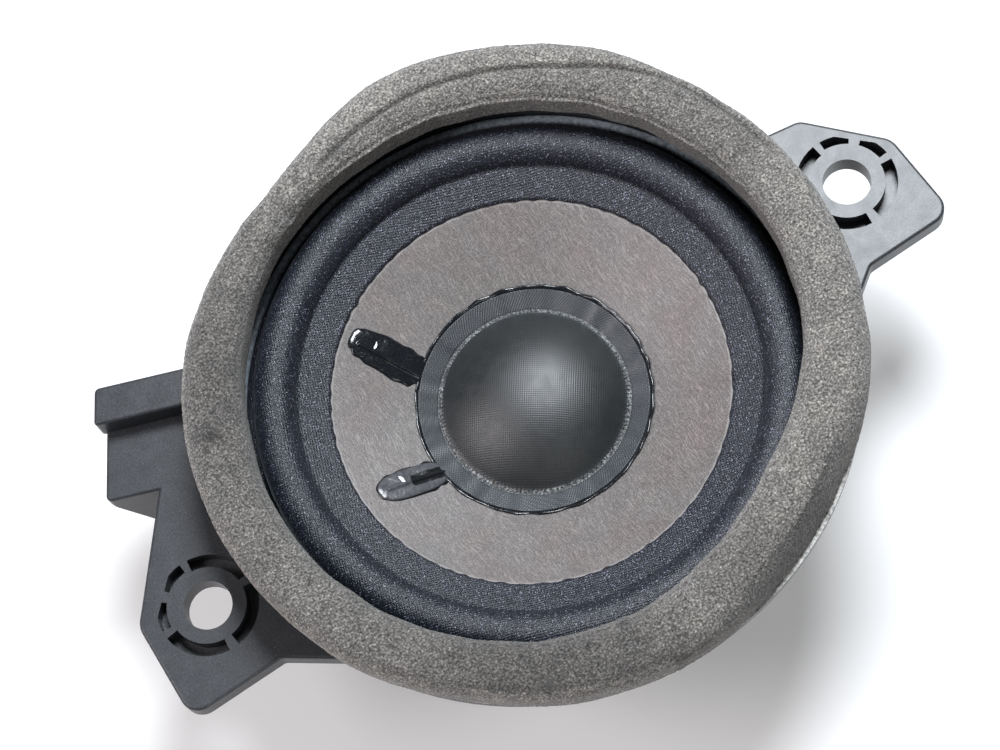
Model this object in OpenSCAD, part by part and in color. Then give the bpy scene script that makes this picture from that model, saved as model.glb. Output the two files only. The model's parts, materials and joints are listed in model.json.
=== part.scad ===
// Small car loudspeaker: a moulded basket with two mounting ears and a side
// connector, a paper cone with a cloth surround and a soft domed dust cap, a
// ferrite motor behind it, and an open-cell foam gasket on the front of the rim.
// Millimetres. +Z is the speaker's axis, front up. +X runs through the ear holes.
// The origin is midway between the two ear holes, in the ears' front face.

/* [Cone and surround] */
// Outer diameter of the paper cone
cone_d = 62.4; // [52:0.2:75]
// Slope of the cone, from flat
cone_slope = 24.5; // [20:0.5:30]
// Thickness of the cone's paper
cone_t = 0.5; // [0.3:0.05:0.8]
// Height of the cone's outer edge above the ears
cone_edge_z = 3.4; // [2.6:0.1:4.2]
// Width of the cloth glued onto the cone
lap_w = 4.3; // [3:0.1:6]
// Width of the surround's half roll
roll_w = 5.8; // [4.8:0.1:7]
// Width of the surround's flat outer flange
flange_w = 2.6; // [2.2:0.1:3.4]
// Thickness of the surround's cloth
cloth_t = 0.4; // [0.3:0.05:0.5]

/* [Rim and ears] */
// Width of the rim, from its inner wall to its outer wall
rim_w = 4.5; // [4.2:0.1:6]
// Height of the rim's front above the ears
rim_rise = 7.9; // [6.8:0.1:9.5]
// Thickness of the rim's front lip
rim_lip_t = 1.3; // [1.1:0.1:2.2]
// Wall of the rim below its lip
rim_wall = 2.4; // [2:0.1:3]
// Distance from the rim's outer wall to the middle of an ear hole
ear_hole_gap = 7.4; // [6.4:0.1:9]
// Diameter of an ear hole
hole_d = 6.6; // [5.4:0.1:7.6]
// Thickness of the ears
ear_t = 3.4; // [2.8:0.1:4.2]
// Reach of an ear past the middle of its hole
ear_reach = 9; // [8.6:0.1:12]
// Distance from the hole to the ear's long lower edge
ear_drop = 11.7; // [9.8:0.1:14]
// Distance from the hole to the ear's upper edge
ear_top = 11.2; // [9.4:0.1:13.4]
// Inner radius of the relief slots round a hole
slot_in_r = 5.2; // [4.6:0.1:5.4]
// Outer radius of the relief slots round a hole
slot_out_r = 6.9; // [6.6:0.1:7.6]
// Depth of the relief slots
slot_depth = 2.5; // [1.6:0.1:2.6]
// Radius on the outer edges of the ears and the connector
edge_r = 0.4; // [0.2:0.05:0.6]

/* [Connector] */
// Direction in which the connector points, from +X
conn_angle = 158.5; // [154:0.5:161]
// Distance from the speaker's axis to the connector's mouth
conn_reach = 58; // [55:0.5:64]
// Slant of the connector's mouth across its width
conn_skew = 9.5; // [0:0.5:14]
// Slant of the connector's mouth down its height
mouth_slant = 20; // [0:1:26]
// Width of the connector shroud
conn_w = 14.9; // [14:0.1:18]
// Sideways offset of the shroud's middle from a radius
conn_offset = 5.8; // [4.6:0.1:7]
// Height of the connector, from the ears' face to its underside
conn_h = 13; // [11:0.1:15]
// Height of the socket
socket_h = 6; // [5:0.1:7]
// Width of the raised latch cover on the shroud
latch_w = 5.2; // [4.2:0.1:6.4]
// Height of the raised latch cover
latch_h = 3.8; // [3:0.1:4.6]
// How far the latch cover stands out past the shroud's mouth
latch_proud = 0.8; // [0:0.1:1.2]
// Wall of the shroud
conn_wall = 1.3; // [1:0.1:1.6]
// Depth of the socket
socket_depth = 8.5; // [7:0.1:10]
// Distance between the two terminals
pin_pitch = 5; // [4:0.1:6]
// Width of a terminal
pin_w = 1.6; // [1.2:0.1:2]
// Thickness of a terminal
pin_t = 0.6; // [0.5:0.1:0.8]

/* [Foam gasket] */
// Width of the foam gasket
foam_w = 7.9; // [6.5:0.1:9.6]
// Thickness of the foam gasket
foam_t = 7; // [5:0.1:9]
// How far the foam stands past the rim's outer wall
foam_proud = 0.9; // [0:0.1:1.5]
// Thickness of the foam's adhesive layer
tape_t = 0.2; // [0.1:0.05:0.3]

/* [Voice coil and dust cap] */
// Inner diameter of the voice coil's former
coil_d = 25.2; // [21:0.1:30.4]
// Wall of the former
former_t = 0.2; // [0.15:0.05:0.3]
// Thickness of the winding
winding_t = 0.5; // [0.4:0.05:0.7]
// Height of the winding
winding_h = 7.5; // [6:0.1:9]
// Width of the dust cap's glued flange
cap_flange_w = 3; // [2.4:0.1:3.8]
// Height of the dust cap's dome
dome_h = 4.8; // [3.8:0.1:6]
// Thickness of the dust cap's cloth
cap_t = 0.35; // [0.25:0.05:0.5]
// How far the cone moves each way
travel = 3; // [2:0.1:3.2]

/* [Spider] */
// Outer diameter of the spider
spider_d = 53.6; // [46:0.2:65]
// Depth of the spider below the cone's neck
spider_drop = 4.6; // [4:0.1:5.6]
// Thickness of the spider's cloth
spider_t = 0.35; // [0.3:0.05:0.5]
// Height of the spider's waves, each way
wave_h = 0.6; // [0.4:0.05:0.8]
// Width of the spider's flat outer band
spider_land_w = 3.2; // [2.6:0.1:3.8]

/* [Motor] */
// Diameter of the front plate
plate_d = 54; // [44:0.5:65]
// Thickness of the front plate
plate_t = 3.2; // [2.6:0.1:4]
// Diameter of the ring magnet
magnet_d = 55; // [48:0.5:64]
// Thickness of the ring magnet
magnet_t = 9; // [7.5:0.1:12]
// Diameter of the back plate
back_d = 51; // [43:0.5:58]
// Thickness of the back plate
back_t = 3.5; // [2.8:0.1:4.4]
// Clearance between the pole and the former
gap_in = 0.4; // [0.3:0.05:0.5]
// Clearance between the winding and the front plate
gap_out = 0.45; // [0.35:0.05:0.6]
// Radial room between the pole and the magnet
magnet_room = 3.8; // [3:0.1:4.6]
// Thickness of the motor's glue layers
motor_glue_t = 0.2; // [0.1:0.05:0.3]

/* [Basket body] */
// Wall of the basket's sloping part
basket_wall = 2; // [1.6:0.1:2.6]
// Thickness of the basket's floor
floor_t = 2; // [1.6:0.1:2.6]
// Clearance between the spider and the floor at full travel
floor_gap = 0.5; // [0.3:0.1:1.4]
// Wall of the lip that holds the front plate
lip_t = 1.8; // [1.4:0.1:2.4]
// Depth of that lip over the front plate's edge
lip_h = 2.2; // [1.6:0.1:2.4]
// Angle that each window of the basket covers
window_angle = 42; // [34:1:46]

/* [Hidden] */
$fn = 120;
eps = 0.01;
far = 100;

// Radii, worked outwards from the cone
cone_r = cone_d / 2;
lap_r = cone_r - lap_w;
roll_r = cone_r + roll_w;
rim_in_r = roll_r + flange_w;
rim_r = rim_in_r + rim_w;
hole_x = rim_r + ear_hole_gap;
former_r = coil_d / 2 + former_t;
winding_r = former_r + winding_t;
pole_r = coil_d / 2 - gap_in;
plate_bore_r = winding_r + gap_out;
magnet_bore_r = pole_r + magnet_room;
wrap_t = 0.15;
wrap_r = former_r + wrap_t;
foam_out_r = rim_r + foam_proud;
foam_in_r = foam_out_r - foam_w;
dome_r = former_r - 0.2;
cap_r = former_r + cap_flange_w;

// Heights of the cone's two faces at radius r, and of the cloth lying on it
cone_tan = tan(cone_slope);
cone_drop = cone_t / cos(cone_slope);
function cone_front(r) = cone_edge_z - (cone_r - r) * cone_tan;
function cone_back(r) = cone_front(r) - cone_drop;
function lap_front(r) = cone_front(r) + cloth_t / cos(cone_slope);

// Heights, worked down from the cone's neck to the back of the motor
neck_z = cone_front(former_r);
spider_z = neck_z - spider_drop;
landing_z = spider_z - spider_t / 2;
floor_z = landing_z - wave_h - travel - floor_gap;
plate_z = floor_z - floor_t;
plate_back_z = plate_z - plate_t;
magnet_z = plate_back_z - motor_glue_t;
magnet_back_z = magnet_z - magnet_t;
back_z = magnet_back_z - motor_glue_t;
coil_mid_z = plate_z - plate_t / 2;
coil_top_z = coil_mid_z + winding_h / 2;
coil_low_z = coil_mid_z - winding_h / 2;
former_tail = 0.4;

// Basket: ledges and the sloping wall between the rim and the spider's ledge
ledge_clear = 0.3;
ledge_in_r = roll_r + ledge_clear;
ledge_t = 1.8;
seat_clear = 0.2;
land_out_r = spider_d / 2 + seat_clear;
land_in_r = spider_d / 2 - spider_land_w;
land_wall_h = 1.1;
floor_bore_r = plate_bore_r + 0.9;
plate_clear = 0.05;
lip_in_r = plate_d / 2 + plate_clear;
lip_out_r = lip_in_r + lip_t;
wall_slope = (landing_z + land_wall_h + ledge_t) / (land_out_r - ledge_in_r);
function wall_in_z(r) = -ledge_t + (r - ledge_in_r) * wall_slope;
wall_drop = basket_wall * sqrt(1 + wall_slope * wall_slope);
skirt_r = rim_in_r + rim_wall;
skirt_in_r = skirt_r - 1.6;
lip_low_z = rim_rise - rim_lip_t;
window_in_r = max(lip_out_r, land_out_r) + 0.5;
window_out_r = ledge_in_r - 0.5;
window_dirs = [30, 90, 210, 270, 330];
rib_t = 1.2;
rib_drop = 5;
rib_step = 15;

// Ears: where the lower edge starts and how far the hole sits from the corners
ear_root_r = skirt_r - 1;
ear_low_angle = -28.5;
ear_high_angles = [19, 27.6];
ear_low_in = 4.4;
ear_end_rises = [1.6, 2.8];
ear_end_in = 0.4;
left_reach_more = 0.7;
left_top_in = 4.6;
left_top_up = 8.7;
slot_gap = 12;
short_slot_ends = [7, 42];
short_slot_step = 0.4;
short_slot_chord = 6.3;
slot_rim_gap = 0.2;

// Connector, in a frame turned so that x points out of its mouth
conn_y = -conn_offset;
conn_low_y = conn_y - conn_w / 2;
end_land = 1.1;
socket_low = conn_wall + socket_h;
pin_z = -conn_wall - socket_h / 2;
pin_tip_back = 4.5;
pin_in_x = 29.5;
latch_socket_w = latch_w - 2 * conn_wall;
pin_sides = [-1, 1];

// Where the coil's leads cross the bare paper between the cap and the cloth: direction,
// radius of the joint, radius of the glue's rounded end, direction at the cap, glue width
function on_paper(share) = cap_r + (lap_r - cap_r) * share;
upper_lead = [128, on_paper(0.65), on_paper(0.91), 132.5, 4.6];
lower_lead = [180.5, on_paper(0.51), on_paper(0.79), 186, 3.6];
joint_r = 0.8;
joint_below = 0.8;
joint_above = 0.35;
wire_w = 0.4;
wire_h = 0.35;
streak_h = 0.8;
bead_w = 0.7;
bead_h = 0.55;
tinsel_r = 0.45;
tinsel_sides = 8;
solder_r = 0.95;
solder_l = 1.3;

// A polygon's corner k rounded to radius r, as an arc of steps points
function unit(v) = v / norm(v);
function corner_arc(a, b, c, r, steps = 8) =
  let (u = unit(a - b), w = unit(c - b), half = acos(u * w) / 2,
    mid = b + unit(u + w) * (r / sin(half)), p = b + u * (r / tan(half)) - mid,
    q = b + w * (r / tan(half)) - mid,
    turn = atan2(p[0] * q[1] - p[1] * q[0], p * q))
  [for (i = [0:steps]) let (t = turn * i / steps)
    mid + [p[0] * cos(t) - p[1] * sin(t), p[0] * sin(t) + p[1] * cos(t)]];
function rounded(corners) = [for (k = [0:len(corners) - 1])
  let (n = len(corners), a = corners[(k + n - 1) % n], b = corners[k], c = corners[(k + 1) % n])
  each (b[2] == 0 ? [[b[0], b[1]]]
    : corner_arc([a[0], a[1]], [b[0], b[1]], [c[0], c[1]], b[2]))];
function polar(r, a) = [r * cos(a), r * sin(a)];
function arc(r, from, to, steps) = [for (i = [0:steps]) polar(r, from + (to - from) * i / steps)];
function ring_sector(r_in, r_out, from, to, steps = 10) =
  concat(arc(r_out, from, to, steps), arc(r_in, to, from, steps));

// An outline moved inwards by d, and a plate on it whose edges are rounded to radius r
function normal(a, b) = unit([a[1] - b[1], b[0] - a[0]]);
function inset(p, d) = [for (i = [0:len(p) - 1])
  let (n = len(p), before = normal(p[(i + n - 1) % n], p[i]), after = normal(p[i], p[(i + 1) % n]),
    middle = unit(before + after))
  p[i] + middle * d / (middle * before)];
function with_z(p, z) = [for (q = p) [q[0], q[1], z]];
module rounded_plate(outline, low, high, r, steps = 4) {
  sides = len(outline);
  turns = [for (i = [0:steps]) 90 * i / steps];
  layers = concat([for (t = turns) with_z(inset(outline, r * (1 - sin(t))), low + r * (1 - cos(t)))],
    [for (t = turns) with_z(inset(outline, r * (1 - cos(t))), high - r * (1 - sin(t)))]);
  last = (len(layers) - 1) * sides;
  polyhedron([for (layer = layers) each layer], concat(
    [[for (k = [0:sides - 1]) k]],
    [for (i = [0:len(layers) - 2]) for (k = [0:sides - 1]) let (n = (k + 1) % sides)
      [i * sides + k, (i + 1) * sides + k, (i + 1) * sides + n, i * sides + n]],
    [[for (k = [0:sides - 1]) last + sides - 1 - k]]));
}
// A tube swept along points, as one closed polyhedron. Its ends lie square to the
// directions start and end, and level is a direction that no part of it follows.
module tube(p, r, sides, start, end, level) {
  last = len(p) - 1;
  rings = [for (i = [0:last])
    let (d = i == 0 ? start : i == last ? end : unit(p[i + 1] - p[i - 1]),
      w = unit(cross(d, level)), q = cross(w, d))
    for (k = [0:sides - 1]) p[i] + r * (q * cos(360 * k / sides) + w * sin(360 * k / sides))];
  polyhedron(rings, concat(
    [[for (k = [0:sides - 1]) k]],
    [for (i = [0:last - 1]) for (k = [0:sides - 1]) let (n = (k + 1) % sides)
      [i * sides + k, (i + 1) * sides + k, (i + 1) * sides + n, i * sides + n]],
    [[for (k = [0:sides - 1]) last * sides + sides - 1 - k]]));
}
// A curve through four control points
function curve(a, b, c, d, steps) = [for (i = [0:steps]) let (t = i / steps, s = 1 - t)
  s * s * s * a + 3 * s * s * t * b + 3 * s * t * t * c + t * t * t * d];
module ring(r_in, r_out, low, high) {
  rotate_extrude()
    polygon([[r_in, low], [r_out, low], [r_out, high], [r_in, high]]);
}
module at_connector() {
  rotate([0, 0, conn_angle])
    children();
}
function from_connector(p) = let (q = [cos(conn_angle), sin(conn_angle)])
  [p[0] * q[0] - p[1] * q[1], p[0] * q[1] + p[1] * q[0], p[2]];
function pin_y(side) = conn_y + side * pin_pitch / 2;

// The space inside the basket, from the rim's front to behind the coil's gap
module basket_inside() {
  rotate_extrude()
    polygon([[0, rim_rise + 1], [rim_in_r, rim_rise + 1], [rim_in_r, 0], [ledge_in_r, 0],
      [ledge_in_r, -ledge_t], [land_out_r, landing_z + land_wall_h], [land_out_r, landing_z],
      [land_in_r, landing_z], [land_in_r, floor_z], [floor_bore_r, floor_z],
      [floor_bore_r, plate_z - 1], [0, plate_z - 1]]);
}
module basket_shell() {
  rotate_extrude()
    polygon(rounded([[floor_bore_r - 1, plate_z, 0], [lip_in_r, plate_z, 0],
      [lip_in_r, plate_z - lip_h, 0], [lip_out_r, plate_z - lip_h, edge_r],
      [lip_out_r, wall_in_z(lip_out_r) - wall_drop, 0],
      [skirt_in_r, wall_in_z(skirt_in_r) - wall_drop, 0], [skirt_in_r, -ear_t, 0],
      [skirt_r, -ear_t, edge_r], [skirt_r, lip_low_z, 0], [rim_r, lip_low_z, edge_r / 2],
      [rim_r, rim_rise, edge_r], [floor_bore_r - 1, rim_rise, 0]]));
}
// Small gussets that hold the rim's lip out from its wall
module lip_ribs() {
  for (a = [0:rib_step:359])
    rotate([90, 0, a])
      linear_extrude(rib_t, center = true)
        polygon([[skirt_r - 0.3, lip_low_z - rib_drop], [rim_r - 0.6, lip_low_z],
          [rim_r - 0.6, lip_low_z + 0.3], [skirt_r - 0.3, lip_low_z + 0.3]]);
}
// One ear on the +X side; the third number of a corner is its radius, high_angle is
// where the upper edge meets the rim and top_corner where the outer edge turns back to it
module ear_plate(reach, end_rise, high_angle, top_corner) {
  low_root = polar(ear_root_r, ear_low_angle);
  high_root = polar(ear_root_r, high_angle);
  rounded_plate(rounded([[high_root[0], high_root[1], 0], [low_root[0], low_root[1], 0],
    [hole_x - ear_low_in, -ear_drop, 1.2], [hole_x + reach, -ear_drop, 2.6],
    [hole_x + reach - ear_end_in, end_rise, 3], top_corner]), -ear_t, 0, edge_r);
}
module ears() {
  ear_plate(ear_reach, ear_end_rises[0], ear_high_angles[0], [hole_x, ear_top, 2.2]);
  mirror([1, 0, 0])
    ear_plate(ear_reach + left_reach_more, ear_end_rises[1], ear_high_angles[1],
      [hole_x - left_top_in, ear_top + left_top_up, 0.5]);
}
// Relief slots round a hole: three long ones, and two wedges in the outer upper quarter
// whose outer edges lie on one line, along the ear's slanting edge
function wedge_slot(from, to, steps = 10) =
  concat([for (i = [0:steps]) let (a = from + (to - from) * i / steps)
      polar(min(slot_out_r, short_slot_chord / cos(a)), a)],
    arc(slot_in_r + short_slot_step, to, from, steps));
module ear_slot(outline) {
  translate([0, 0, -slot_depth])
    linear_extrude(slot_depth + 1)
      polygon(outline);
}
module ear_slots() {
  for (quarter = [-90, 90, 180])
    ear_slot(ring_sector(slot_in_r, slot_out_r, quarter + slot_gap / 2, quarter + 90 - slot_gap / 2));
  for (side = [-1, 1])
    rotate([0, 0, 45])
      ear_slot(wedge_slot(side * short_slot_ends[0], side * short_slot_ends[1]));
}
module ear_cuts() {
  translate([hole_x, 0, -ear_t - 1])
    cylinder(h = ear_t + 2, d = hole_d);
  intersection() {
    translate([hole_x, 0, 0])
      ear_slots();
    translate([rim_r + slot_rim_gap, -far / 2, -ear_t])
      cube([far, far, ear_t + 1]);
  }
}
// An outline whose outer end lies on the mouth's slanting line
function mouth_x(y, proud) = conn_reach + proud + (y - conn_y) * tan(conn_skew);
function block_outline(x0, y0, y1, proud, r0, r1) = rounded([[x0, y0, 0],
  [mouth_x(y0, proud), y0, r0], [mouth_x(y1, proud), y1, r1], [x0, y1, 0]]);
// What the mouth's slant takes off the connector's end
module mouth_cut() {
  deep = conn_h + 2;
  out = 2;
  translate([conn_reach, conn_y, -end_land])
    rotate([90, 0, -conn_skew])
      linear_extrude(2 * conn_w, center = true)
        polygon([[0, 0], [-deep * tan(mouth_slant), -deep], [out, -deep], [out, 0]]);
}
module connector_block() {
  at_connector() {
    difference() {
      rounded_plate(block_outline(lip_out_r, conn_low_y, conn_low_y + conn_w, 0, 0.8, 0.8),
        -conn_h, 0, edge_r);
      mouth_cut();
      translate([lip_out_r - 1, conn_low_y - 1, -conn_h - 1])
        cube([skirt_in_r - lip_out_r + 1, conn_w + 2, conn_h + 1 - socket_low - conn_wall]);
    }
    rounded_plate(block_outline(rim_in_r, conn_low_y, conn_low_y + latch_w, latch_proud, 0.8, 0.5),
      -edge_r * 2, latch_h, edge_r);
  }
}
// The socket, the slot under the latch cover, a hollow below the socket that is
// open to the back, and the terminals' slits
module connector_cuts() {
  core_in_x = skirt_in_r + conn_wall;
  core_out_x = mouth_x(conn_low_y, 0) - conn_h * tan(mouth_slant) - conn_wall;
  at_connector() {
    translate([conn_reach - socket_depth, conn_low_y + conn_wall, -socket_low])
      cube([2 * socket_depth, conn_w - 2 * conn_wall, socket_h]);
    translate([conn_reach - socket_depth, conn_low_y + conn_wall, -conn_wall - eps])
      cube([2 * socket_depth, latch_socket_w, latch_h + eps]);
    translate([core_in_x, conn_low_y + conn_wall, -conn_h - 1])
      cube([core_out_x - core_in_x, conn_w - 2 * conn_wall, conn_h + 1 - socket_low - conn_wall]);
    for (side = pin_sides)
      terminal_blade(side);
  }
}
module terminal_blade(side) {
  translate([pin_in_x, pin_y(side) - pin_w / 2, pin_z - pin_t / 2])
    cube([conn_reach - pin_tip_back - pin_in_x, pin_w, pin_t]);
}
module basket_windows() {
  for (d = window_dirs)
    translate([0, 0, plate_z])
      linear_extrude(-plate_z - ledge_t / 2)
        polygon(ring_sector(window_in_r, window_out_r, d - window_angle / 2, d + window_angle / 2));
}
module basket() {
  color("#2d3034")
    difference() {
      union() {
        basket_shell();
        lip_ribs();
        ears();
        connector_block();
      }
      basket_inside();
      basket_windows();
      connector_cuts();
      ear_cuts();
      mirror([1, 0, 0])
        ear_cuts();
    }
}

module foam_gasket() {
  low = rim_rise + tape_t;
  high = low + foam_t;
  color("#8b8276")
    rotate_extrude()
      polygon(rounded([[foam_in_r, low, 0.8], [foam_out_r, low, 0.8],
        [foam_out_r, high, 2.8], [foam_in_r, high, 2.4]]));
}
module foam_adhesive() {
  color("#d8d2c4")
    ring(rim_in_r, rim_r, rim_rise, rim_rise + tape_t);
}
module clamp_ring() {
  ring_w = 1.1;
  ring_h = 1.3;
  color("#17191c")
    rotate_extrude()
      polygon(rounded([[rim_in_r, cloth_t, 0], [rim_in_r, cloth_t + ring_h, 0.3],
        [rim_in_r - ring_w, cloth_t + ring_h, 0.45], [rim_in_r - ring_w, cloth_t, 0]]));
}

// The surround's section: a lap on the cone, a half roll, and a flat flange
roll_mid_r = cone_r + roll_w / 2;
roll_out_r = roll_w / 2;
roll_steps = 16;
module surround() {
  foot_z = cone_front(cone_r);
  front = arc(roll_out_r, 180, 0, roll_steps);
  back = arc(roll_out_r - cloth_t, 0, 180, roll_steps);
  color("#20242c")
    rotate_extrude()
      polygon(concat(
        [[lap_r, cone_front(lap_r)], [lap_r, lap_front(lap_r)],
          [cone_r - cloth_t, lap_front(cone_r - cloth_t)]],
        [for (p = front) [roll_mid_r + p[0], foot_z + cloth_t + p[1]]],
        [[roll_r, cloth_t], [rim_in_r, cloth_t], [rim_in_r, 0], [roll_r - cloth_t, 0]],
        [for (p = back) [roll_mid_r + p[0], foot_z + cloth_t + p[1]]],
        [[cone_r + cloth_t, foot_z], [cone_r, foot_z]]));
}
module cone() {
  color("#8d857d")
    difference() {
      rotate_extrude()
        polygon([[former_r, cone_front(former_r)], [former_r, cone_back(former_r)],
          [cone_r, cone_back(cone_r)], [cone_r, cone_front(cone_r)]]);
      for (lead = [upper_lead, lower_lead])
        lead_joint_body(lead);
    }
}

// The dust cap's section: a flange lying on the cone and a spherical dome
function dome_z(r, base_r, base_z, h) = let (ball = (base_r * base_r + h * h) / (2 * h))
  base_z + h - ball + sqrt(ball * ball - r * r);
dome_base_z = neck_z + 0.75;
module dust_cap() {
  steps = 14;
  color("#2f3a3c")
    rotate_extrude()
      polygon(concat(
        [for (i = [0:steps]) let (r = dome_r * i / steps) [r, dome_z(r, dome_r, dome_base_z, dome_h)]],
        [[cap_r, cone_front(cap_r) + cap_t], [cap_r, cone_front(cap_r)],
          [former_r, cone_front(former_r)], [dome_r, neck_z]],
        [for (i = [steps:-1:0]) let (r = (dome_r - cap_t) * i / steps)
          [r, dome_z(r, dome_r, dome_base_z, dome_h) - cap_t]]));
}
module bead_ring() {
  rotate_extrude()
    polygon([[cap_r, cone_front(cap_r)], [cap_r + bead_w, cone_front(cap_r + bead_w)],
      [cap_r + bead_w * 0.75, cone_front(cap_r) + bead_h * 0.8],
      [cap_r + bead_w * 0.3, cone_front(cap_r) + bead_h], [cap_r, cone_front(cap_r) + cap_t]]);
}
module dust_cap_glue() {
  color("#0b0c0e")
    difference() {
      bead_ring();
      coil_wire(upper_lead);
      coil_wire(lower_lead);
    }
}

// A layer of height h lying on the cone
module cone_layer(h) {
  rotate_extrude()
    polygon([[cap_r, cone_front(cap_r)], [cone_r, cone_front(cone_r)],
      [cone_r, cone_front(cone_r) + h], [cap_r, cone_front(cap_r) + h]]);
}
module coil_wire(lead) {
  to = polar(lead[1], lead[0]);
  from = polar(cap_r - 1, lead[3]);
  side = unit([from[1] - to[1], to[0] - from[0]]) * wire_w / 2;
  difference() {
    intersection() {
      cone_layer(wire_h);
      translate([0, 0, -far / 2])
        linear_extrude(far)
          polygon([from - side, to - side, to + side, from + side]);
    }
    lead_joint_body(lead);
  }
}
module lead_joint_body(lead) {
  p = polar(lead[1], lead[0]);
  z = cone_front(lead[1]);
  translate([p[0], p[1], z - cone_drop - joint_below])
    cylinder(h = cone_drop + joint_below + joint_above, r = joint_r, $fn = 32);
}
module lead_streak(lead) {
  tip = polar(lead[2] - lead[4] / 2, lead[0]);
  root = polar(cap_r, lead[3]);
  side = unit([root[1] - tip[1], tip[0] - root[0]]) * lead[4] / 2;
  difference() {
    intersection() {
      cone_layer(streak_h);
      translate([0, 0, -far / 2])
        linear_extrude(far)
          union() {
            translate(tip)
              circle(d = lead[4], $fn = 40);
            polygon([root - side * 1.15, tip - side, tip + side, root + side * 1.15]);
          }
    }
    bead_ring();
    coil_wire(lead);
    lead_joint_body(lead);
  }
}
module lead_glue_upper() {
  color("#08090b")
    lead_streak(upper_lead);
}
module lead_glue_lower() {
  color("#191a1c")
    lead_streak(lower_lead);
}
module coil_lead_upper() {
  color("#7a3b1c")
    coil_wire(upper_lead);
}
module coil_lead_lower() {
  color("#7a3b1c")
    coil_wire(lower_lead);
}
module lead_joint_upper() {
  color("#b9bcc0")
    lead_joint_body(upper_lead);
}
module lead_joint_lower() {
  color("#b9bcc0")
    lead_joint_body(lower_lead);
}

module coil_former() {
  color("#6b4a2a")
    ring(coil_d / 2, former_r, coil_low_z - former_tail, neck_z);
}
module voice_coil() {
  color("#a2552a")
    ring(former_r, winding_r, coil_low_z, coil_top_z);
}
wrap_top_z = cone_back(former_r) - 1.5;
module former_wrap() {
  color("#c9b58f")
    ring(former_r, wrap_r, coil_top_z, wrap_top_z);
}
module neck_glue() {
  wide = 1.6;
  color("#c8b27a")
    rotate_extrude()
      polygon([[former_r, cone_back(former_r)], [former_r, wrap_top_z],
        [former_r + wide, cone_back(former_r + wide)]]);
}

// The spider: a corrugated cloth disc, with a short neck on the former's wrap
spider_neck_h = 1.3;
spider_in_w = 1.4;
wave_in_r = wrap_r + spider_in_w;
wave_count = 4;
function spider_height(r) = spider_z
  + (r > wave_in_r && r < land_in_r
    ? wave_h * sin(360 * wave_count * (r - wave_in_r) / (land_in_r - wave_in_r)) : 0);
module spider() {
  steps = 48;
  radii = concat([wrap_r + spider_t], [for (i = [0:steps]) wave_in_r + (land_in_r - wave_in_r) * i / steps],
    [spider_d / 2]);
  color("#c39a4a")
    rotate_extrude()
      polygon(concat([[wrap_r, spider_z - spider_t / 2], [wrap_r, spider_z + spider_neck_h],
        [wrap_r + spider_t, spider_z + spider_neck_h]],
        [for (r = radii) [r, spider_height(r) + spider_t / 2]],
        [for (i = [len(radii) - 1:-1:1]) [radii[i], spider_height(radii[i]) - spider_t / 2]]));
}
module spider_glue() {
  wide = 0.9;
  low = spider_z + spider_t / 2;
  color("#b79a63")
    rotate_extrude()
      polygon([[wrap_r + spider_t, low], [wrap_r + spider_t + wide, low],
        [wrap_r + spider_t, spider_z + spider_neck_h]]);
}

// Flexible leads from the terminals, sagging and then rising to the cone
lead_reach = 6;
lead_sag = 5.6;
lead_steps = 18;
module tinsel_lead(lead, side) {
  start = from_connector([pin_in_x - solder_l, pin_y(side), pin_z]);
  ahead = from_connector([pin_in_x - solder_l - lead_reach, pin_y(side), pin_z]);
  p = polar(lead[1], lead[0]);
  end = [p[0], p[1], cone_back(lead[1]) - joint_below];
  level = unit(cross(end - start, [0, 0, 1]));
  tube(curve(start, ahead, end - [0, 0, lead_sag], end, lead_steps), tinsel_r, tinsel_sides,
    unit(ahead - start), [0, 0, 1], level);
}
module tinsel_lead_upper() {
  color("#b3a184")
    tinsel_lead(upper_lead, -1);
}
module tinsel_lead_lower() {
  color("#b3a184")
    tinsel_lead(lower_lead, 1);
}
module terminal_pin_upper() {
  color("#c9c3b0")
    at_connector()
      terminal_blade(-1);
}
module terminal_pin_lower() {
  color("#c9c3b0")
    at_connector()
      terminal_blade(1);
}
module solder_joint(side) {
  at_connector()
    translate([pin_in_x, pin_y(side), pin_z])
      rotate([0, -90, 0])
        rotate_extrude($fn = 40)
          polygon([[0, 0], [solder_r * 0.85, 0], [solder_r, solder_l * 0.35],
            [solder_r * 0.85, solder_l * 0.8], [tinsel_r, solder_l], [0, solder_l]]);
}
module solder_joint_upper() {
  color("#c4c8cc")
    solder_joint(-1);
}
module solder_joint_lower() {
  color("#c4c8cc")
    solder_joint(1);
}

module top_plate() {
  color("#a9adb2")
    ring(plate_bore_r, plate_d / 2, plate_back_z, plate_z);
}
module magnet_glue_front() {
  color("#6f6a5c")
    ring(magnet_bore_r, min(magnet_d, plate_d) / 2 - 0.5, magnet_z, plate_back_z);
}
module magnet() {
  edge = 0.7;
  color("#3a3b3e")
    rotate_extrude()
      polygon([[magnet_bore_r, magnet_back_z], [magnet_d / 2 - edge, magnet_back_z],
        [magnet_d / 2, magnet_back_z + edge], [magnet_d / 2, magnet_z - edge],
        [magnet_d / 2 - edge, magnet_z], [magnet_bore_r, magnet_z]]);
}
module magnet_glue_back() {
  color("#6f6a5c")
    ring(magnet_bore_r, min(magnet_d, back_d) / 2 - 0.5, back_z, magnet_back_z);
}
module yoke() {
  edge = 0.6;
  color("#a9adb2")
    rotate_extrude()
      polygon([[0, back_z - back_t], [back_d / 2 - edge, back_z - back_t],
        [back_d / 2, back_z - back_t + edge], [back_d / 2, back_z], [pole_r, back_z],
        [pole_r, plate_z - edge], [pole_r - edge, plate_z], [0, plate_z]]);
}

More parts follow.
